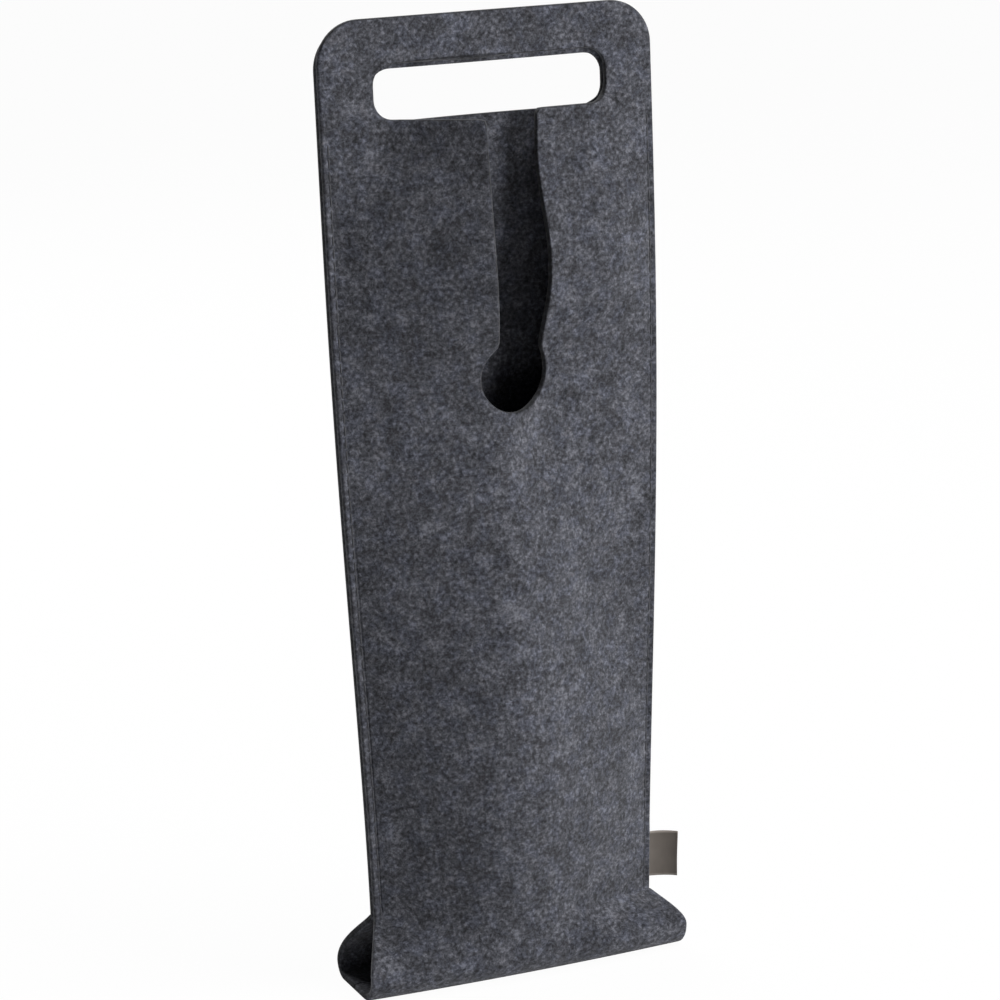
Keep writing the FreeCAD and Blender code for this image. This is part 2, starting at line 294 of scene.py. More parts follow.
def front_flaps(x, height):
    """How far the front stands forward beside the slit, and how far that draws the felt aside.

    The left flap leans out from a rounded fold, which runs from its seam up to the hand hole's corner, and
    its edge draws back by the lift squared over twice the flap's width. The right flap stands out evenly
    and comes down at its seam in a shoulder, a quarter of a sine wave, which takes up the shoulder's slant
    less its width. Its hump at mid slit also spreads the slit a little. Both fade out below the keyhole.
    """
    seam = edge_at(height) - SEAM_MARGIN
    both_lift = FLAP_LIFT * rising(height, *FLAP_RISE)
    hump = rising(height, *HUMP_RISE) * falling(height, *HUMP_FALL)
    left_lift = (both_lift + LEAN_LIFT * rising(height, *LEAN_RISE)) * below_hole(x, height)
    right_lift = (both_lift + HUMP_LIFT * hump) * below_hole(x, height)

    hole_corner = HOLE_PLACE - HOLE_WIDTH / 2 + HOLE_CORNER
    fold = -seam + (hole_corner + seam) * rising(height, FOLD_START, HOLE_BOTTOM - FOLD_START)
    at_seam = rounded_ramp((-seam - fold) / (SLOT_LEFT - fold))
    at_place = rounded_ramp(np.minimum((x - fold) / (SLOT_LEFT - fold), 1))
    left_share = np.maximum(at_place - at_seam, 0) / (rounded_ramp(1) - at_seam)
    left_forward = left_lift * left_share
    left_aside = -left_lift ** 2 / (2 * (seam + SLOT_LEFT)) * left_share

    taken_up = np.hypot(right_lift, SHOULDER) - SHOULDER
    right_share = np.clip((seam - x) / (SHOULDER + taken_up), 0, 1)
    right_forward = right_lift * np.sin(right_share * math.pi / 2)
    spread = HUMP_SPREAD * hump * falling(x, seam, seam - SLOT_RIGHT)
    right_aside = taken_up * smooth_step(right_share) + spread

    to_right = rising(x, SLOT_LEFT, SLOT_RIGHT - SLOT_LEFT)
    forward = left_forward + (right_forward - left_forward) * to_right
    aside = left_aside + (right_aside - left_aside) * to_right
    return forward, aside


def flat_flap(x, height):
    """Share of the belly that is missing right of the slit, where the felt hangs almost flat."""
    return FLAT_SHARE * rising(x, SLOT_LEFT, FLAT_WIDTH) * rising(height, *FLAT_RISE)


def back_bulge(x, height):
    """How far the back stands off behind the slit: a low arch between the seams, gone at the handle."""
    seam = edge_at(height) - SEAM_MARGIN
    arch = np.clip(1 - (x / seam) ** 2, 0, 1)
    return BULGE * arch * rising(height, *BULGE_RISE) * below_hole(x, height)


def unevenness(across, along):
    """Slight waves of felt that has been handled: a few crossed sines.

    Each has its size, its radians per metre across and along, and its phase.
    """
    waves = (
        (0.30 * MM, 41, 23, 0.4),
        (0.22 * MM, -67, 37, 2.1),
        (0.14 * MM, 118, 90, 4.4),
    )
    return sum(size * np.sin(kx * across + ky * along + phase) for size, kx, ky, phase in waves)


def felt_place(layer, across, along):
    """Middle of the felt, from the flat cut: along the base, round its bend, then up a bowed wall.

    The wall starts straight on the bend. Below each seam's end its sides are drawn in from the base's full
    width to the seam, and above it the wall has the belly of its height.
    """
    bend = BEND_MIDDLE[layer]
    turn = np.clip((along - FLAT_HALF[layer]) / bend, 0, math.pi / 2)
    rise = np.maximum(along - WALL_START[layer], 0)
    height = FELT / 2 + bend * (1 - np.cos(turn)) + rise
    side = across / STRIP_HALF
    foot = np.minimum(along, FLAT_HALF[layer]) + bend * np.sin(turn)
    foot = foot * (1 + BASE_BOW / BASE_HALF * (1 - side ** 2))

    seam_end = (LEFT_SEAM_END * (1 - side) + RIGHT_SEAM_END * (1 + side)) / 2
    drawn = np.clip((height - BEND_RADIUS[layer]) / (seam_end - BEND_RADIUS[layer]), 0, 1)
    edge_share = np.clip(np.abs(side), 0, 1) ** 3
    at_edge = 1 - (1 - drawn ** EDGE_START_POWER) ** EDGE_END_POWER
    drawn = at_edge * edge_share + drawn * (1 - edge_share)

    narrowed = side * edge_at(height)
    bowed = belly(layer, narrowed, height)
    off = parting(across, height) / 2 + FELT / 2 + bowed
    aside = 0
    if layer == "front":
        forward, aside = front_flaps(narrowed, height)
        off = off + forward - flat_flap(narrowed, height) * bowed
    else:
        off = off + back_bulge(narrowed, height)
    free = rising(height, seam_end, WAVE_RISE) * falling(height, FLEX_HEIGHT, WAVE_FALL)
    off = off + unevenness(across, along) * free * np.clip(bowed / WAVE_SAG, 0, 1)

    x = across + (narrowed - across) * drawn + aside
    y = foot + (off - foot) * drawn
    facing = -1 if layer == "front" else 1
    return np.stack((x, facing * y, height), axis=-1)


def sway(height):
    """How far the carrier bows to its right between base and top, a parabola of the height."""
    share = height / TOPS["front"]
    return 4 * SWAY * share * (1 - share)


def stitch_groove(layer, across, along):
    """How deep the stitches draw the outer face in: a furrow along each seam, deepest between stitches."""
    from_edge = STRIP_HALF - np.abs(across)
    height = along - along_at(layer, 0)
    seam_end = np.where(across < 0, LEFT_SEAM_END, RIGHT_SEAM_END)
    present = rising(height, seam_end, GROOVE_END) * falling(height, HOLE_BOTTOM, GROOVE_END)
    pull = 1 - GROOVE_EASE + GROOVE_EASE * np.cos((height - seam_end) * (2 * math.pi / STITCH_PITCH))
    return GROOVE_DEPTH * present * pull * np.exp(-(((from_edge - STITCH_INSET) / GROOVE_WIDTH) ** 2))


def openings(layer, across, along):
    """Distance from one layer's cut-outs: the hand hole and, in the front, the slit with its keyhole."""
    top = along_at(layer, TOPS[layer])
    hole_middle = top - HOLE_TOP_MARGIN - HOLE_HEIGHT / 2
    hole_half = (HOLE_WIDTH / 2, HOLE_HEIGHT / 2)
    hole = box_distance(across - HOLE_PLACE, along - hole_middle, *hole_half, HOLE_CORNER)
    if layer == "back":
        return hole
    keyhole_middle = along_at(layer, KEYHOLE_HEIGHT)
    up_slit = np.clip((along - keyhole_middle) / (HOLE_BOTTOM - KEYHOLE_HEIGHT), 0, 1)
    beside = np.maximum(SLOT_LEFT - across, across - SLOT_RIGHT - SLOT_FLARE * up_slit)
    slot = np.maximum(beside, np.maximum(keyhole_middle - along, along - hole_middle))
    keyhole = np.hypot(across - KEYHOLE_PLACE, along - keyhole_middle) - KEYHOLE_RADIUS
    return soft_least((hole, slot, keyhole), NOTCH_BLEND)


def cut_distance(layer, across, along):
    """Distance inwards from the nearest cut edge of one layer's flat shape."""
    outside = -box_distance(across, along, STRIP_HALF, along_at(layer, TOPS[layer]), TOP_CORNER)
    return np.minimum(outside, openings(layer, across, along))


def slopes(distance, across, along):
    """Direction in which a distance grows, by differences over a small step."""
    step = 0.02 * MM
    right = distance(across + step, along) - distance(across - step, along)
    up = distance(across, along + step) - distance(across, along - step)
    length = np.maximum(np.hypot(right, up), 1e-12)
    return right / length, up / length


def flat_grid(layer):
    """Grid on one layer's flat cut, inside its rounded edges, with lines on the cut-outs' straight edges.

    Columns are closer at the seams, and rows at the bend. In the rounded corners of the top, rows follow
    the corner's angle and every row keeps to the corner's width.
    """
    inset = CUT_ROUNDING
    reach = STRIP_HALF - inset
    hole_left = HOLE_PLACE - HOLE_WIDTH / 2 - inset
    hole_right = HOLE_PLACE + HOLE_WIDTH / 2 + inset
    slot_left = SLOT_LEFT - inset
    slot_right = SLOT_RIGHT + inset
    seam_zone = STRIP_HALF - SEAM_ZONE
    columns = np.concatenate((
        spaced([-reach, -seam_zone], SEAM_STEP)[:-1],
        spaced([-seam_zone, hole_left, slot_left, slot_right, hole_right, seam_zone], GRID_STEP),
        spaced([seam_zone, reach], SEAM_STEP)[1:],
    ))
    top = along_at(layer, TOPS[layer])
    corner = top - TOP_CORNER
    hole_top = top - HOLE_TOP_MARGIN + inset
    hole_bottom = top - HOLE_TOP_MARGIN - HOLE_HEIGHT - inset
    seam_end = along_at(layer, LEFT_SEAM_END)
    bend_start = FLAT_HALF[layer]
    bend_end = WALL_START[layer]
    fine_start = bend_start - 2 * MM
    fine_end = bend_end + 3 * MM
    below = np.concatenate((
        spaced([0, fine_start], GRID_STEP)[:-1],
        spaced([fine_start, bend_start, bend_end, fine_end], BEND_STEP)[:-1],
        spaced([fine_end, seam_end, hole_bottom, corner], GRID_STEP),
    ))
    turns = spaced([math.asin((hole_top - corner) / (TOP_CORNER - inset)), math.pi / 2], CORNER_TURN)
    rows = np.concatenate((below, corner + (TOP_CORNER - inset) * np.sin(turns)))
    widths = np.concatenate((
        np.full(len(below), reach),
        STRIP_HALF - TOP_CORNER + (TOP_CORNER - inset) * np.cos(turns),
    ))
    return np.outer(widths / reach, columns), np.repeat(rows[:, None], len(columns), axis=1)


def trimmed_faces(kept, on_edge, middle_inside):
    """Faces of a grid of kept and dropped points: squares, and half squares where one corner is cut away.

    A square with all corners on the cut is kept only where its middle is felt.
    """
    rows, columns = kept.shape
    index = np.arange(rows * columns).reshape(rows, columns)
    around = (index[:-1, :-1], index[:-1, 1:], index[1:, 1:], index[1:, :-1])
    corners = np.stack(around, axis=-1).reshape(-1, 4)
    held = kept.ravel()[corners]
    rim = on_edge.ravel()[corners]
    count = held.sum(axis=1)
    felt = ~(rim | ~held).all(axis=1) | middle_inside.ravel()
    squares = corners[(count == 4) & felt]
    cut = corners[(count == 3) & felt]
    missing = np.argmin(held[(count == 3) & felt], axis=1)
    order = (missing[:, None] + np.arange(1, 4)) % 4
    return squares, np.take_along_axis(cut, order, axis=1)


def edge_runs(squares, halves):
    """The edges, as pairs of points in the faces' turning sense, that only one face uses."""
    pairs = np.concatenate(
        [squares[:, [side, (side + 1) % 4]] for side in range(4)]
        + [halves[:, [side, (side + 1) % 3]] for side in range(3)]
    )
    key = np.sort(pairs, axis=1)
    first, count = np.unique(key, axis=0, return_index=True, return_counts=True)[1:]
    return pairs[first[count == 1]]


def rim_profile(thickness):
    """A cut edge's rounded profile from outer to inner face, as outward steps and offsets."""
    rounding = min(CUT_ROUNDING, thickness / 2)
    angles = np.radians((65, 35, 0))
    outward = rounding * np.cos(angles)
    offset = thickness / 2 - rounding + rounding * np.sin(angles)
    return np.concatenate((outward, outward[::-1])), np.concatenate((offset, -offset[::-1]))


def felt_layer(layer):
    """One layer of the strip: its flat grid, snapped to the cut-outs, stood up and given its thickness."""
    across, along = flat_grid(layer)

    def cut_out(x, y):
        """Distance from the layer's cut-outs, less the rounding of their edges."""
        return openings(layer, x, y) - CUT_ROUNDING

    off = cut_out(across, along)
    on_edge = np.abs(off) < GRID_STEP / 2
    for repeat in range(SNAP_ROUNDS):
        right, up = slopes(cut_out, across, along)
        off = np.where(on_edge, cut_out(across, along), 0)
        across = across - off * right
        along = along - off * up
    kept = on_edge | (cut_out(across, along) > 0)
    middle_across = (across[:-1, :-1] + across[1:, 1:] + across[:-1, 1:] + across[1:, :-1]) / 4
    middle_along = (along[:-1, :-1] + along[1:, 1:] + along[:-1, 1:] + along[1:, :-1]) / 4
    squares, halves = trimmed_faces(kept, on_edge, cut_out(middle_across, middle_along) > GRID_STEP / 8)

    across = across.ravel()
    along = along.ravel()
    runs = edge_runs(squares, halves)
    rim = np.unique(runs)

    def cut(x, y):
        """Distance inwards from the layer's nearest cut edge."""
        return cut_distance(layer, x, y)

    right, up = slopes(cut, across[rim], along[rim])
    at_cut = cut(across[rim], along[rim]) < 2 * CUT_ROUNDING
    steps, offsets = rim_profile(FELT)
    ring_across = across[rim] - steps[:, None] * right * at_cut
    ring_along = along[rim] - steps[:, None] * up * at_cut

    def stood(x, y, offset):
        """The place at an offset from the felt's middle, square to it."""
        step = 0.05 * MM
        sideways = felt_place(layer, x + step, y) - felt_place(layer, x - step, y)
        upwards = felt_place(layer, x, y + step) - felt_place(layer, x, y - step)
        normal = np.cross(sideways, upwards)
        if layer == "back":
            normal = -normal
        normal = normal / np.linalg.norm(normal, axis=-1, keepdims=True)
        return felt_place(layer, x, y) + normal * np.asarray(offset)[..., None]

    outer = stood(across, along, FELT / 2 - stitch_groove(layer, across, along))
    inner = stood(across, along, np.full(len(across), -FELT / 2))
    rings = stood(ring_across, ring_along, np.repeat(offsets[:, None], len(rim), axis=1))

    count = len(across)
    ring_index = 2 * count + np.arange(rings.shape[0] * len(rim)).reshape(rings.shape[0], len(rim))
    order = np.full(count, -1)
    order[rim] = np.arange(len(rim))
    levels = np.concatenate((rim[None], ring_index, rim[None] + count))
    starts = levels[:, order[runs[:, 0]]]
    ends = levels[:, order[runs[:, 1]]]
    walls = np.stack((ends[:-1], starts[:-1], starts[1:], ends[1:]), axis=-1).reshape(-1, 4)

    points = np.concatenate((outer, inner, rings.reshape(-1, 3)))
    facing = -1 if layer == "back" else 1
    flat = np.concatenate((
        np.stack((across, facing * along, np.full(count, FELT)), axis=-1),
        np.stack((across, facing * along, np.zeros(count)), axis=-1),
        np.stack((
            ring_across,
            facing * ring_along,
            np.repeat(offsets[:, None] + FELT / 2, len(rim), axis=1),
        ), axis=-1).reshape(-1, 3),
    ))
    fours = np.concatenate((squares, squares[:, ::-1] + count, walls))
    threes = np.concatenate((halves, halves[:, ::-1] + count))
    if layer == "back":
        fours = fours[:, ::-1]
        threes = threes[:, ::-1]
    return mesh_piece(layer + "_felt", points, fours, threes, flat)


def mesh_piece(name, points, fours, threes, flat=None):
    """Object from whole arrays of points and faces, without unused points.

    Every point is moved aside by the carrier's sway at its height. A sheet keeps two places as attributes:
    that on its flat cut, and that at rest with height as the second number, so that a pattern stays on the
    sheet when it bends.
    """
    used, position = np.unique(np.concatenate((fours.ravel(), threes.ravel())), return_inverse=True)
    corner_points = position.ravel()
    sizes = np.concatenate((np.full(len(fours), 4), np.full(len(threes), 3)))
    mesh = bpy.data.meshes.new(name)
    mesh.vertices.add(len(used))
    stood = points[used] + sway(points[used, 2])[:, None] * (1, 0, 0)
    mesh.vertices.foreach_set("co", stood.astype(np.float32).ravel())
    mesh.loops.add(len(corner_points))
    mesh.loops.foreach_set("vertex_index", corner_points.astype(np.int32))
    mesh.polygons.add(len(sizes))
    mesh.polygons.foreach_set("loop_start", (np.cumsum(sizes) - sizes).astype(np.int32))
    mesh.polygons.foreach_set("use_smooth", np.ones(len(sizes), dtype=bool))
    mesh.update(calc_edges=True)
    mesh.validate()
    if flat is not None:
        for kind, places in (("flat_place", flat[used]), ("rest_place", stood[:, [0, 2, 1]])):
            attribute = mesh.attributes.new(kind, "FLOAT_VECTOR", "POINT")
            attribute.data.foreach_set("vector", places.astype(np.float32).ravel())
    piece = bpy.data.objects.new(name, mesh)
    bpy.context.scene.collection.objects.link(piece)
    return piece


def seam_thread(name, edge_side, layer_side, seam_end):
    """A seam's thread on one face: for every stitch a round tube that dives into the felt at both ends.

    Its path rises by the root of half a sine wave.
    """
    stop = HOLE_BOTTOM - (TOPS["front"] - TOPS["back"])
    count = int((stop - seam_end) / STITCH_PITCH)
    share = np.linspace(0, 1, STITCH_POINTS)
    around = np.linspace(0, 2 * math.pi, THREAD_SIDES, endpoint=False)
    start = seam_end + (np.arange(count) + 0.5) * STITCH_PITCH - STITCH_LENGTH / 2
    height = start[:, None] + share * STITCH_LENGTH
    hump = np.sin(math.pi * share) ** 0.5
    off = parting(edge_side * STRIP_HALF, height) / 2 + FELT - GROOVE_DEPTH - THREAD_RADIUS
    off = off + THREAD_RADIUS * hump
    middle_x = edge_side * (edge_at(height) - STITCH_INSET)
    x = middle_x[..., None] + THREAD_RADIUS * np.cos(around)
    y = layer_side * (off[..., None] + THREAD_RADIUS * np.sin(around))
    z = height[..., None] + 0 * x
    points = np.stack((x, y, z), axis=-1).reshape(-1, 3)
    index = np.arange(len(points)).reshape(count, len(share), len(around))
    here = index[:, :-1]
    above = index[:, 1:]
    sides = np.stack((here, np.roll(here, -1, 2), np.roll(above, -1, 2), above), axis=-1).reshape(-1, 4)
    if layer_side < 0:
        sides = sides[:, ::-1]
    ends = np.concatenate([
        np.stack((end[:, 0], end[:, step], end[:, step + 1], end[:, step + 2]), axis=-1)
        for end in (index[:, 0, ::-layer_side], index[:, -1, ::layer_side])
        for step in range(1, THREAD_SIDES - 2, 2)
    ])
    return mesh_piece(name, points, np.concatenate((sides, ends)), NO_HALVES)


def ribbon_label():
    """The folded ribbon: its path runs out of the seam, round a tight fold and back in.

    Its two leaves part a little towards the free corners, and the flag curls to the front.
    """
    low = RIGHT_SEAM_END + LABEL_LIFT
    root = edge_at(np.array(low)) - LABEL_TAIL
    reach = LABEL_TAIL + LABEL_REACH
    fold = (RIBBON + RIBBON_GAP) / 2
    straight = reach - fold
    length = 2 * straight + math.pi * fold
    lean = math.atan2(edge_at(np.array(low + LABEL_HEIGHT)) - edge_at(np.array(low)), LABEL_HEIGHT)

    def place(across, along):
        """Middle of the ribbon, from its flat length: straight out, half a turn round the fold, and back.

        The curl grows with the square of the distance from the seam, and what it takes up with the cube.
        """
        turn = np.clip((along - straight) / fold, 0, math.pi)
        back_in = np.maximum(along - straight - math.pi * fold, 0)
        out = np.minimum(along, straight) + fold * np.sin(turn) - back_in
        side = -fold * np.cos(turn)
        free = np.clip((out - LABEL_TAIL) / (reach - LABEL_TAIL), 0, 1)
        off_middle = 2 * across / LABEL_HEIGHT - 1
        by_edge = LEAF_PARTING_MIDDLE + (1 - LEAF_PARTING_MIDDLE) * off_middle ** 2
        part = 1 + LEAF_PARTING * np.sin(math.pi * free) ** 2 * by_edge
        wave = LABEL_WAVE * free * np.sin(across / LABEL_HEIGHT * LABEL_WAVE_TURN)
        y = side * part - LABEL_CURL * free ** 2 + wave
        taken_up = LABEL_CURL ** 2 / LABEL_REACH * free ** 3 * 2 / 3
        x = root + (out - taken_up) * math.cos(lean) + across * math.sin(lean)
        z = low + across * math.cos(lean) - (out - LABEL_TAIL) * math.sin(lean)
        return np.stack((x, y, z), axis=-1)

    column_step = 0.8 * MM
    row_step = 0.5 * MM
    fold_room = 0.3 * MM
    fold_points = 9
    fold_end = straight + math.pi * fold
    columns = spaced([0, LABEL_HEIGHT], column_step)
    rows = np.concatenate((
        spaced([0, straight - fold_room], row_step),
        np.linspace(straight, fold_end, fold_points),
        spaced([fold_end + fold_room, length], row_step),
    ))
    across, along = (grid.ravel() for grid in np.meshgrid(columns, rows))
    step = 0.02 * MM
    sideways = place(across + step, along) - place(across - step, along)
    onwards = place(across, along + step) - place(across, along - step)
    normal = np.cross(onwards, sideways)
    normal = normal / np.linalg.norm(normal, axis=-1, keepdims=True)
    middle = place(across, along)
    points = np.concatenate((middle + normal * RIBBON / 2, middle - normal * RIBBON / 2))
    count = len(across)
    index = np.arange(count).reshape(len(rows), len(columns))
    around = (index[:-1, :-1], index[1:, :-1], index[1:, 1:], index[:-1, 1:])
    squares = np.stack(around, axis=-1).reshape(-1, 4)
    runs = edge_runs(squares, NO_HALVES)
    walls = np.stack((runs[:, 1], runs[:, 0], runs[:, 0] + count, runs[:, 1] + count), axis=-1)
    flat = np.stack((across, along, 0 * along), axis=-1)
    faces = np.concatenate((squares, squares[:, ::-1] + count, walls))
    piece = mesh_piece("label_ribbon", points, faces, NO_HALVES, np.concatenate((flat, flat)))
    return piece, (LABEL_HEIGHT, length)


class Value:
    """A socket whose value feeds others, with the operators, from either side, that add Math nodes."""

    def __init__(self, finish, socket):
        self.finish = finish
        self.socket = socket

    def __add__(self, other):
        return self.finish.maths("ADD", self, other)

    def __radd__(self, other):
        return self.finish.maths("ADD", other, self)

    def __sub__(self, other):
        return self.finish.maths("SUBTRACT", self, other)

    def __rsub__(self, other):
        return self.finish.maths("SUBTRACT", other, self)

    def __mul__(self, other):
        return self.finish.maths("MULTIPLY", self, other)

    def __rmul__(self, other):
        return self.finish.maths("MULTIPLY", other, self)

    def __truediv__(self, other):
        return self.finish.maths("DIVIDE", self, other)

    def __rtruediv__(self, other):
        return self.finish.maths("DIVIDE", other, self)


class Finish:
    """A material or world with its node tree."""

    def __init__(self, owner):
        owner.use_nodes = True
        self.owner = owner
        self.tree = owner.node_tree

    def node(self, kind, settings=None, inputs=None, output=0):
        """A new node, with its settings, a ramp's stops among them, and its sockets' values or links."""
        made = self.tree.nodes.new(kind)
        for key, value in (settings or {}).items():
            if key == "stops":
                self.set_stops(made.color_ramp, value)
            else:
                setattr(made, key, value)
        self.feed(made, inputs or {})
        return Value(self, made.outputs[output])

    def feed(self, node, inputs):
        """Sets a node's sockets to values or links."""
        for key, value in inputs.items():
            if isinstance(value, Value):
                self.tree.links.new(value.socket, node.inputs[key])
            else:
                node.inputs[key].default_value = value

    def set_stops(self, ramp, stops):
        """Gives a ramp its stops, each a position and a colour."""
        while len(ramp.elements) < len(stops):
            ramp.elements.new(1)
        for element, (position, colour) in zip(ramp.elements, stops):
            element.position = position
            element.color = (*colour, 1)

    def maths(self, operation, *inputs):
        """A number from one or two numbers."""
        return self.node("ShaderNodeMath", {"operation": operation}, dict(enumerate(inputs)))

    def vector(self, operation, inputs):
        """A vector from vectors and numbers."""
        return self.node("ShaderNodeVectorMath", {"operation": operation}, inputs)

    def numbers(self, vector):
        """A vector's three numbers."""
        parted = self.node("ShaderNodeSeparateXYZ", {}, {"Vector": vector})
        return [Value(self, output) for output in parted.socket.node.outputs]

    def noise(self, place, scale, detail=2.0, roughness=0.5, output=0):
        """Fractal noise at a place: its level, or as output 1 its colour."""
        return self.node(
            "ShaderNodeTexNoise",
            {"noise_dimensions": "3D"},
            {"Vector": place, "Scale": scale, "Detail": detail, "Roughness": roughness},
            output,
        )

    def mixed(self, share, first, second, blend="MIX"):
        """Two colours mixed by a share: inputs 6 and 7 and output 2 of the node are those for colours."""
        settings = {"data_type": "RGBA", "blend_type": blend}
        return self.node("ShaderNodeMix", settings, {0: share, 6: first, 7: second}, 2)

    def tinted(self, colour, share, tint):
        """A colour multiplied by a tint, by a share."""
        return self.mixed(share, colour, tint, "MULTIPLY")

    def smooth(self, value, low, high):
        """0 where a value is below low, 1 where it is above high, soft between them."""
        return self.node(
            "ShaderNodeMapRange",
            {"interpolation_type": "SMOOTHSTEP"},
            {"Value": value, "From Min": low, "From Max": high},
        )


def new_material(name):
    """A new material, ready for its nodes."""
    return Finish(bpy.data.materials.new(name))


def grey(level, blue=0.0):
    """A colour of one level, as a screen shows it, leaning to blue by a few parts."""
    screen = np.array((level, level + 0.15 * blue, level + blue)) / 255
    return tuple(np.where(screen <= 0.04045, screen / 12.92, ((screen + 0.055) / 1.055) ** 2.4))


def felt_finish():
    """Pressed felt: dark, mid and blue-grey fibres in curls, in soft patches, with a matt nap.

    The cut edges are darkened with painted shade, apart from the front's outer sides.
    """
    finish = new_material("mottled_felt")
    place = finish.node("ShaderNodeAttribute", {"attribute_name": "rest_place"}, output=1)
    flat = finish.node("ShaderNodeAttribute", {"attribute_name": "flat_place"}, output=1)
    curl_reach = 3.2 * MM
    swirl = finish.noise(place, scale=260, detail=1.0, output=1)
    pushed = finish.vector("SUBTRACT", {0: swirl, 1: (0.5, 0.5, 0.5)})
    pushed = finish.vector("SCALE", {0: pushed, "Scale": curl_reach})
    curled = finish.vector("ADD", {0: place, 1: pushed})

    def fibres(angle, scale, slenderness):
        """Stretched noise along one direction of the sheet."""
        turned = finish.node("ShaderNodeMapping", {"vector_type": "TEXTURE"}, {
            "Vector": curled,
            "Rotation": (0, 0, math.radians(angle)),
            "Scale": (1, 1 / slenderness, 1),
        })
        return finish.noise(turned, scale, roughness=0.55)

    strands = (fibres(20, 1500, 0.22) + fibres(80, 1350, 0.25) + fibres(140, 1600, 0.2)) / 3
    speck = finish.noise(place, scale=620)
    patch = finish.noise(place, scale=120, detail=3.0, roughness=0.55)
    tone = strands + speck * 0.7 + patch * 0.45 - 0.575
    colour = finish.node("ShaderNodeValToRGB", {
        "stops": (
            (0.26, grey(28, 4)),
            (0.42, grey(53, 6)),
            (0.55, grey(73, 8)),
            (0.74, grey(108, 9)),
        ),
    }, {"Fac": tone})
    blue = finish.smooth(finish.noise(curled, scale=150, detail=3.0, roughness=0.6), 0.46, 0.62)
    brown = finish.smooth(finish.noise(curled, scale=190, detail=3.0, roughness=0.6), 0.54, 0.66)
    tinted = finish.tinted(colour, blue, (0.975, 1.0, 1.07, 1))
    tinted = finish.tinted(tinted, brown * (1 - blue), (1.02, 1.0, 0.985, 1))

    # Painted shade: the cut edges are darkened in the colour as if they lay in shadow, apart from the
    # front's outer sides.
    across, along, depth = finish.numbers(flat)
    off_inner = finish.smooth(depth, 0.1 * MM, 0.5 * MM)
    at_outer = finish.smooth(depth, 2.75 * MM, 2.98 * MM)
    at_side = finish.smooth(finish.maths("ABSOLUTE", across), STRIP_HALF - 2 * MM, STRIP_HALF - MM)
    on_front = finish.smooth(along, 0, MM)
    painted_edge_shade = off_inner * (1 - at_outer) * (1 - at_side * on_front)
    tinted = finish.tinted(tinted, painted_edge_shade, (0.45, 0.45, 0.45, 1))

    fuzz = finish.noise(curled, scale=2600, roughness=0.6)
    bump = finish.node("ShaderNodeBump", {}, {
        "Strength": 0.55,
        "Distance": 0.35 * MM,
        "Height": strands * 0.8 + speck * 0.5 + fuzz * 0.4,
    })
    finish.feed(finish.tree.nodes["Principled BSDF"], {
        "Base Color": tinted,
        "Roughness": 0.95,
        "Specular IOR Level": 0.15,
        "Sheen Weight": 0.12,
        "Sheen Roughness": 0.6,
        "Normal": bump,
    })
    return finish.owner


def thread_finish():
    """Twisted sewing thread: slanting plies across a near-black yarn."""
    finish = new_material("twisted_thread")
    place = finish.node("ShaderNodeTexCoord", {}, output=3)
    turned = finish.node("ShaderNodeMapping", {"vector_type": "POINT"}, {
        "Vector": place,
        "Rotation": (0, math.radians(28), 0),
    })
    plies = finish.node("ShaderNodeTexWave", {"bands_direction": "Z"}, {
        "Vector": turned,
        "Scale": 700.0,
        "Distortion": 0.6,
        "Detail": 1.0,
    }, 1)
    lint = finish.noise(place, scale=1800, roughness=0.6)
    colour = finish.mixed(plies * 0.7 + lint * 0.3, (*grey(36, 4), 1), (*grey(70, 6), 1))
    bump = finish.node("ShaderNodeBump", {}, {"Strength": 0.5, "Distance": 0.1 * MM, "Height": plies})
    finish.feed(finish.tree.nodes["Principled BSDF"], {
        "Base Color": colour,
        "Roughness": 0.7,
        "Normal": bump,
    })
    return finish.owner


def ribbon_finish():
    """Woven satin ribbon: fine ribs across it, a faint warp along it and paler woven edges."""
    finish = new_material("satin_ribbon")
    place = finish.node("ShaderNodeAttribute", {"attribute_name": "flat_place"}, output=1)
    across, along = finish.numbers(place)[:2]
    weft_pitch = 0.32 * MM
    warp_pitch = 0.25 * MM
    weft = finish.maths("SINE", along * (2 * math.pi / weft_pitch))
    warp = finish.maths("SINE", across * (2 * math.pi / warp_pitch))
    weave = weft * 0.3 + warp * 0.2 + 0.5
    half = LABEL_HEIGHT / 2
    selvedge = finish.smooth(finish.maths("ABSOLUTE", across - half), half - 1.0 * MM, half - 0.5 * MM)
    soiling = finish.noise(place, scale=220)
    body = finish.mixed(weave * 0.6 + soiling * 0.4, (0.066, 0.054, 0.045, 1), (0.15, 0.128, 0.108, 1))
    colour = finish.mixed(selvedge * 0.6, body, (0.3, 0.265, 0.235, 1))
    bump = finish.node("ShaderNodeBump", {}, {"Strength": 0.3, "Distance": 0.05 * MM, "Height": weave})
    finish.feed(finish.tree.nodes["Principled BSDF"], {
        "Base Color": colour,
        "Roughness": weave * 0.15 + 0.4,
        "Sheen Weight": 0.2,
        "Normal": bump,
    })
    return finish.owner


def dress(piece, material, slot, *nodes):
    """Gives a piece its material and hides the solids it stands for."""
    piece.data.materials.append(material)
    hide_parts(*nodes)


felt = felt_finish()
thread = thread_finish()
ribbon = ribbon_finish()

front_felt = felt_layer("front")
dress(front_felt, felt, "felt", "front_panel", "front_handle", "base_panel")
back_felt = felt_layer("back")
dress(back_felt, felt, "felt", "back_panel", "back_handle")

for side, edge_side, seam_end in (("left", -1, LEFT_SEAM_END), ("right", 1, RIGHT_SEAM_END)):
    for face, layer_side in (("upper", -1), ("lower", 1)):
        row = seam_thread(side + "_" + face + "_stitches", edge_side, layer_side, seam_end)
        dress(row, thread, "thread", side + "_seam_" + face + "_thread")
        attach(row, "sleeve")

label, label_flat = ribbon_label()
dress(label, ribbon, "ribbon", "side_label", "label_tails")

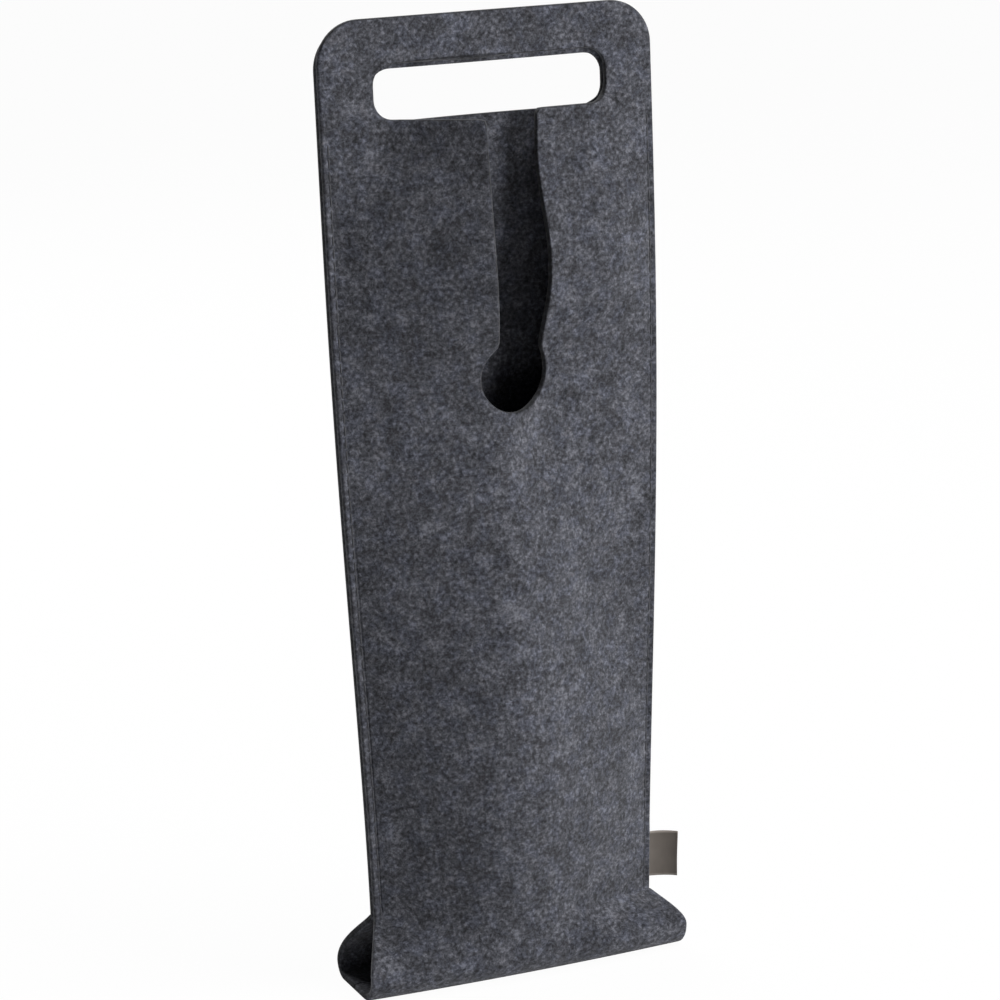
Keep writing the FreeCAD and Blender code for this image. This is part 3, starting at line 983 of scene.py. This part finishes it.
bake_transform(front_felt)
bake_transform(back_felt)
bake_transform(label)

hole_area = HOLE_WIDTH * HOLE_HEIGHT - (4 - math.pi) * HOLE_CORNER ** 2
corner_area = (4 - math.pi) / 2 * TOP_CORNER ** 2
slit_width = SLOT_RIGHT + SLOT_FLARE / 2 - SLOT_LEFT
keyhole_beyond_slit = 0.6
keyhole_area = math.pi * KEYHOLE_RADIUS ** 2 * keyhole_beyond_slit
slit_area = slit_width * (HOLE_BOTTOM - KEYHOLE_HEIGHT) + keyhole_area
for piece, layer, cut_away in ((front_felt, "front", slit_area), (back_felt, "back", 0)):
    flat = (2 * STRIP_HALF, along_at(layer, TOPS[layer]))
    flat[0] * flat[1] - hole_area - corner_area - cut_away


def studio():
    """White floor and surroundings, soft lamps low and high on the right and one behind, and the camera."""
    scene = bpy.context.scene
    scene.view_settings.view_transform = "Standard"

    floor_mesh = bpy.data.meshes.new("floor")
    reach = 12.0
    corners = [(-reach, -reach, 0), (reach, -reach, 0), (reach, reach, 0), (-reach, reach, 0)]
    floor_mesh.from_pydata(corners, [], [(0, 1, 2, 3)])
    floor = bpy.data.objects.new("floor", floor_mesh)
    scene.collection.objects.link(floor)
    paper = new_material("white_paper")
    shader = paper.tree.nodes["Principled BSDF"]
    paper.feed(shader, {"Base Color": (0.86, 0.86, 0.86, 1), "Roughness": 0.9})
    path = paper.node("ShaderNodeLightPath")
    glow = paper.node("ShaderNodeEmission", {}, {"Color": (1, 1, 1, 1), "Strength": 1.0})
    seen = paper.node("ShaderNodeMixShader", {}, {
        0: path * 0.97,
        1: Value(paper, shader.outputs[0]),
        2: glow,
    })
    paper.tree.links.new(seen.socket, paper.tree.nodes["Material Output"].inputs["Surface"])
    floor_mesh.materials.append(paper.owner)

    world = bpy.data.worlds.new("white_room")
    scene.world = world
    room = Finish(world)
    path = room.node("ShaderNodeLightPath")
    ambient = 0.04
    room.feed(room.tree.nodes["Background"], {
        "Color": (1, 1, 1, 1),
        "Strength": path * (1 - ambient) + ambient,
    })

    lamps = (
        ("low_softbox", 26.8, 40, 5),
        ("high_softbox", 30.9, 55, 58),
        ("back_softbox", 22, 180, 35),
    )
    lamp_size = 0.9
    lamp_distance = 1.9
    lamp_aim = Vector((0, 0, 0.2))
    for name, power, angle, lift in lamps:
        lamp_data = bpy.data.lights.new(name, "AREA")
        lamp_data.shape = "SQUARE"
        lamp_data.size = lamp_size
        lamp_data.energy = power
        lamp = bpy.data.objects.new(name, lamp_data)
        level = math.cos(math.radians(lift))
        toward = Vector((
            math.sin(math.radians(angle)) * level,
            -math.cos(math.radians(angle)) * level,
            math.sin(math.radians(lift)),
        ))
        lamp.location = lamp_aim + lamp_distance * toward
        lamp.rotation_euler = toward.to_track_quat("Z", "Y").to_euler()
        scene.collection.objects.link(lamp)

    azimuth = math.radians(22.918)
    elevation = math.radians(14.071)
    roll = math.radians(1.85)
    focal_share = 3.451
    distance = 1.3793
    aim = Vector((0.0007, 0, 0.1966))
    right = Vector((math.cos(azimuth), -math.sin(azimuth), 0))
    back = Vector((
        -math.sin(azimuth) * math.cos(elevation),
        -math.cos(azimuth) * math.cos(elevation),
        math.sin(elevation),
    ))
    up = back.cross(right)
    turned_right = right * math.cos(roll) - up * math.sin(roll)
    turned_up = right * math.sin(roll) + up * math.cos(roll)
    lens = bpy.data.cameras.new("camera")
    lens.sensor_width = 36
    lens.lens = focal_share * lens.sensor_width
    camera = bpy.data.objects.new("camera", lens)
    axes = Matrix((turned_right, turned_up, back)).transposed().to_4x4()
    camera.matrix_world = Matrix.Translation(aim + distance * back) @ axes
    scene.collection.objects.link(camera)
    scene.camera = camera


studio()
